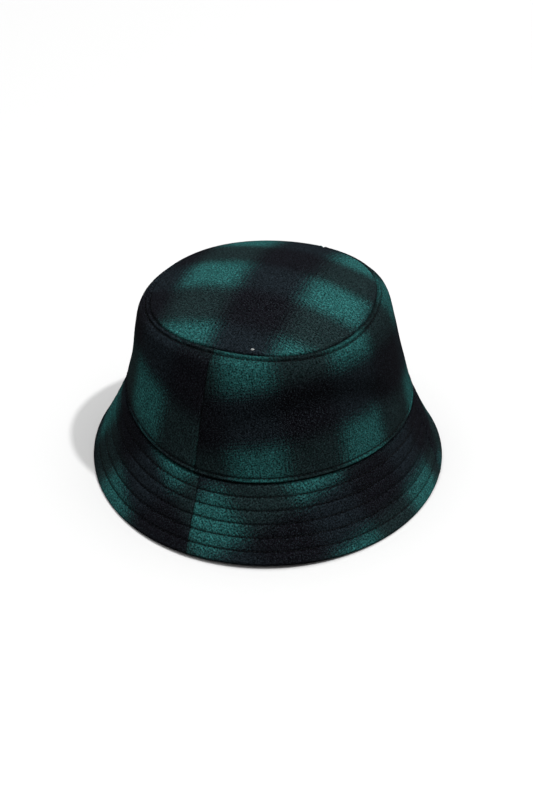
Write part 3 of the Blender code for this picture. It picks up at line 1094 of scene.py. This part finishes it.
class HAT_OT_add_sides(bpy.types.Operator):
    """Makes the two panels of the crown's side"""
    bl_idname = "hat.add_sides"
    bl_label = "Crown sides"

    def execute(self, context):
        for name in SIDE_PANELS:
            make_side(name)
        return {"FINISHED"}


class HAT_OT_add_brim(bpy.types.Operator):
    """Makes the brim's three panels of wool, above and below"""
    bl_idname = "hat.add_brim"
    bl_label = "Brim"

    def execute(self, context):
        for name in BRIM_PANELS:
            make_brim_panel(name)
        return {"FINISHED"}


class HAT_OT_add_interlining(bpy.types.Operator):
    """Makes the canvas in the brim"""
    bl_idname = "hat.add_interlining"
    bl_label = "Interlining"

    def execute(self, context):
        make_interlining()
        return {"FINISHED"}


class HAT_OT_add_sweatband(bpy.types.Operator):
    """Makes the band round the head opening"""
    bl_idname = "hat.add_sweatband"
    bl_label = "Sweatband"

    def execute(self, context):
        make_sweatband()
        return {"FINISHED"}


class HAT_OT_add_lining(bpy.types.Operator):
    """Makes the satin lining of side and tip"""
    bl_idname = "hat.add_lining"
    bl_label = "Lining"

    def execute(self, context):
        make_lining_side("front", 241.05, 420.95)
        make_lining_side("back", 61.05, 240.95)
        make_lining_tip()
        return {"FINISHED"}


class HAT_OT_add_crown_stitches(bpy.types.Operator):
    """Makes the crown's edge rows"""
    bl_idname = "hat.add_crown_stitches"
    bl_label = "Crown stitching"

    def execute(self, context):
        make_crown_stitches()
        return {"FINISHED"}


class HAT_OT_add_brim_stitches(bpy.types.Operator):
    """Makes the rows round the brim"""
    bl_idname = "hat.add_brim_stitches"
    bl_label = "Brim stitching"

    def execute(self, context):
        make_brim_stitches()
        return {"FINISHED"}


class HAT_OT_add_main_label(bpy.types.Operator):
    """Makes the blank label on the lining"""
    bl_idname = "hat.add_main_label"
    bl_label = "Woven label"

    def execute(self, context):
        make_main_label()
        return {"FINISHED"}


class HAT_OT_add_care_label(bpy.types.Operator):
    """Makes the hanging blank label"""
    bl_idname = "hat.add_care_label"
    bl_label = "Care label"

    def execute(self, context):
        make_care_label()
        return {"FINISHED"}


class HAT_OT_add_lint(bpy.types.Operator):
    """Makes the bit of lint on the tip"""
    bl_idname = "hat.add_lint"
    bl_label = "Lint"

    def execute(self, context):
        make_lint()
        return {"FINISHED"}


class HAT_OT_add_stage(bpy.types.Operator):
    """Makes the floor, the white surroundings, the lamp and the camera"""
    bl_idname = "hat.add_stage"
    bl_label = "Stage"

    def execute(self, context):
        make_floor()
        make_world()
        make_light()
        make_camera()
        return {"FINISHED"}


OPERATORS = (
    HAT_OT_add_tip, HAT_OT_add_sides, HAT_OT_add_brim, HAT_OT_add_interlining,
    HAT_OT_add_sweatband, HAT_OT_add_lining, HAT_OT_add_crown_stitches, HAT_OT_add_brim_stitches,
    HAT_OT_add_main_label, HAT_OT_add_care_label, HAT_OT_add_lint, HAT_OT_add_stage,
)


class HAT_PT_panel(bpy.types.Panel):
    """Lists the steps that make the hat, and its sizes and colours"""
    bl_label = "Bucket hat"
    bl_idname = "HAT_PT_panel"
    bl_space_type = "VIEW_3D"
    bl_region_type = "UI"
    bl_category = "Hat"

    def draw(self, context):
        layout = self.layout
        for operator in OPERATORS:
            layout.operator(operator.bl_idname)
        for group in (context.scene.hat_sizes, context.scene.hat_colours):
            for key in group.bl_rna.properties.keys():
                if key not in {"rna_type", "name"}:
                    layout.prop(group, key)


CLASSES = (HatSizes, HatColours, *OPERATORS, HAT_PT_panel)


def register():
    for kind in CLASSES:
        bpy.utils.register_class(kind)
    bpy.types.Scene.hat_sizes = PointerProperty(type=HatSizes)
    bpy.types.Scene.hat_colours = PointerProperty(type=HatColours)


def unregister():
    del bpy.types.Scene.hat_colours
    del bpy.types.Scene.hat_sizes
    for kind in reversed(CLASSES):
        bpy.utils.unregister_class(kind)


def main():
    register()
    for operator in OPERATORS:
        getattr(bpy.ops.hat, operator.bl_idname.split(".")[1])()


if __name__ == "__main__":
    main()
